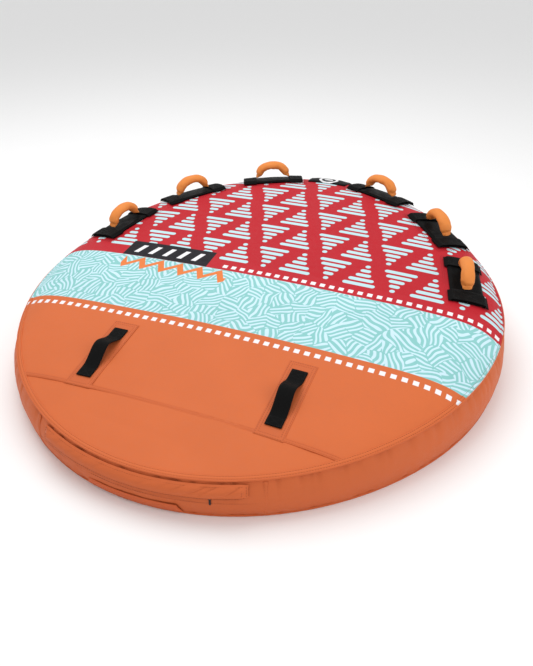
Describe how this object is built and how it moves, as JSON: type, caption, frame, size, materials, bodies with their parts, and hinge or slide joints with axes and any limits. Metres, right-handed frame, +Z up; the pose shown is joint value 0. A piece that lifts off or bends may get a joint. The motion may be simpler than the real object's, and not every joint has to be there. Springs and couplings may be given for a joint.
{
  "type": "towable tube",
  "caption": "Wedge-shaped round deck tube for riders towed behind a boat, with padded grips round the front, boarding straps, a rear zip and a front tow point.",
  "frame": {"origin": "on the floor under the middle of the deck, in the bottom panel's flat underside", "axes": "+Y towards the towed front, +X to the rider's right, +Z up"},
  "size_m": [1.4674, 1.631, 0.3548],
  "materials": {
    "printed_nylon": "printed woven nylon, matt",
    "orange_nylon": "woven nylon, slight sheen",
    "bladder_vinyl": "smooth vinyl film",
    "black_webbing": "ribbed nylon webbing",
    "black_neoprene": "cloth-faced foam rubber, matt",
    "grip_fabric": "padded nylon sleeve, wrinkled",
    "black_plastic": "moulded plastic",
    "grey_plastic": "moulded plastic"
  },
  "bodies": {
    "cover": {"top_panel": "printed_nylon", "rear_top_panel": "orange_nylon", "side_band": "orange_nylon", "bottom_panel": "orange_nylon", "top_seam_welt": "orange_nylon", "bottom_seam_welt": "orange_nylon", "bladder": "bladder_vinyl", "left_baffle": "bladder_vinyl", "middle_baffle": "bladder_vinyl", "right_baffle": "bladder_vinyl", "valve_body": "black_plastic", "zipper_tape": "orange_nylon", "zipper_chain": "black_plastic", "rear_wear_patch": "orange_nylon", "tow_patch": "black_neoprene", "tow_webbing": "black_webbing", "front_left_grip_pad": "black_neoprene", "front_left_grip_left_bar": "black_webbing", "front_left_grip_right_bar": "black_webbing", "middle_left_grip_pad": "black_neoprene", "middle_left_grip_left_bar": "black_webbing", "middle_left_grip_right_bar": "black_webbing", "rear_left_grip_pad": "black_neoprene", "rear_left_grip_left_bar": "black_webbing", "rear_left_grip_right_bar": "black_webbing", "front_right_grip_pad": "black_neoprene", "front_right_grip_left_bar": "black_webbing", "front_right_grip_right_bar": "black_webbing", "middle_right_grip_pad": "black_neoprene", "middle_right_grip_left_bar": "black_webbing", "middle_right_grip_right_bar": "black_webbing", "rear_right_grip_pad": "black_neoprene", "rear_right_grip_left_bar": "black_webbing", "rear_right_grip_right_bar": "black_webbing", "left_strap_patch": "orange_nylon", "left_strap_front_end": "black_webbing", "left_strap_rear_end": "black_webbing", "right_strap_patch": "orange_nylon", "right_strap_front_end": "black_webbing", "right_strap_rear_end": "black_webbing"},
    "front_left_grip": {"front_left_grip_sleeve": "grip_fabric", "front_left_grip_core": "black_webbing"},
    "middle_left_grip": {"middle_left_grip_sleeve": "grip_fabric", "middle_left_grip_core": "black_webbing"},
    "rear_left_grip": {"rear_left_grip_sleeve": "grip_fabric", "rear_left_grip_core": "black_webbing"},
    "front_right_grip": {"front_right_grip_sleeve": "grip_fabric", "front_right_grip_core": "black_webbing"},
    "middle_right_grip": {"middle_right_grip_sleeve": "grip_fabric", "middle_right_grip_core": "black_webbing"},
    "rear_right_grip": {"rear_right_grip_sleeve": "grip_fabric", "rear_right_grip_core": "black_webbing"},
    "left_strap": {"left_strap_loop": "black_webbing"},
    "right_strap": {"right_strap_loop": "black_webbing"},
    "flap": {"zip_flap": "orange_nylon"},
    "zip_slider": {"zipper_slider": "black_plastic"},
    "zip_pull": {"zipper_pull": "black_plastic"},
    "cap": {"valve_cap": "grey_plastic"},
    "connector": {"tow_connector": "black_plastic"}
  },
  "joints": [
    {"name": "front_left_grip_lean", "type": "hinge", "parent": "cover", "child": "front_left_grip", "pos_m": [-0.2112, 0.62239, 0.29046], "axis": [0.9146, 0.4016, 0.0469], "range_deg": [-47, 23], "stiffness_Nm_per_rad": 0.3},
    {"name": "middle_left_grip_lean", "type": "hinge", "parent": "cover", "child": "middle_left_grip", "pos_m": [-0.45553, 0.42356, 0.26764], "axis": [0.606, 0.7899, 0.0934], "range_deg": [-47, 23], "stiffness_Nm_per_rad": 0.3},
    {"name": "rear_left_grip_lean", "type": "hinge", "parent": "cover", "child": "rear_left_grip", "pos_m": [-0.58595, 0.15268, 0.23508], "axis": [0.22, 0.9686, 0.1155], "range_deg": [-47, 23], "stiffness_Nm_per_rad": 0.3},
    {"name": "front_right_grip_lean", "type": "hinge", "parent": "cover", "child": "front_right_grip", "pos_m": [0.2112, 0.62239, 0.29046], "axis": [0.9146, -0.4016, -0.0469], "range_deg": [-47, 23], "stiffness_Nm_per_rad": 0.3},
    {"name": "middle_right_grip_lean", "type": "hinge", "parent": "cover", "child": "middle_right_grip", "pos_m": [0.45553, 0.42356, 0.26764], "axis": [0.606, -0.7899, -0.0934], "range_deg": [-47, 23], "stiffness_Nm_per_rad": 0.3},
    {"name": "rear_right_grip_lean", "type": "hinge", "parent": "cover", "child": "rear_right_grip", "pos_m": [0.58595, 0.15268, 0.23508], "axis": [0.22, -0.9686, -0.1155], "range_deg": [-47, 23], "stiffness_Nm_per_rad": 0.3},
    {"name": "left_strap_lean", "type": "hinge", "parent": "cover", "child": "left_strap", "pos_m": [-0.262, -0.48295, 0.16649], "axis": [0, 0.9857, 0.1685], "range_deg": [-20, 20], "stiffness_Nm_per_rad": 0.05},
    {"name": "right_strap_lean", "type": "hinge", "parent": "cover", "child": "right_strap", "pos_m": [0.262, -0.48295, 0.16649], "axis": [0, 0.9857, 0.1685], "range_deg": [-20, 20], "stiffness_Nm_per_rad": 0.05},
    {"name": "flap_lift", "type": "hinge", "parent": "cover", "child": "flap", "pos_m": [0, -0.7572, 0.10839], "axis": [-1, 0, 0], "range_deg": [0, 50], "stiffness_Nm_per_rad": 0.06, "springref_deg": -5.73},
    {"name": "zip_travel", "type": "hinge", "parent": "cover", "child": "zip_slider", "pos_m": [0, -0.16037, 0.0715], "axis": [0, 0, 1], "range_deg": [-38, 4]},
    {"name": "pull_swing", "type": "hinge", "parent": "zip_slider", "child": "zip_pull", "pos_m": [0.19129, -0.77068, 0.0669], "axis": [-0.9542, -0.2991, 0], "range_deg": [0, 85]},
    {"name": "cap_turn", "type": "hinge", "parent": "cover", "child": "cap", "pos_m": [0, -0.786, 0.051], "axis": [0, -1, 0], "continuous": true},
    {"name": "connector_swing", "type": "hinge", "parent": "cover", "child": "connector", "pos_m": [0, 0.81499, 0.135], "axis": [1, 0, 0], "range_deg": [0, 110]}
  ]
}
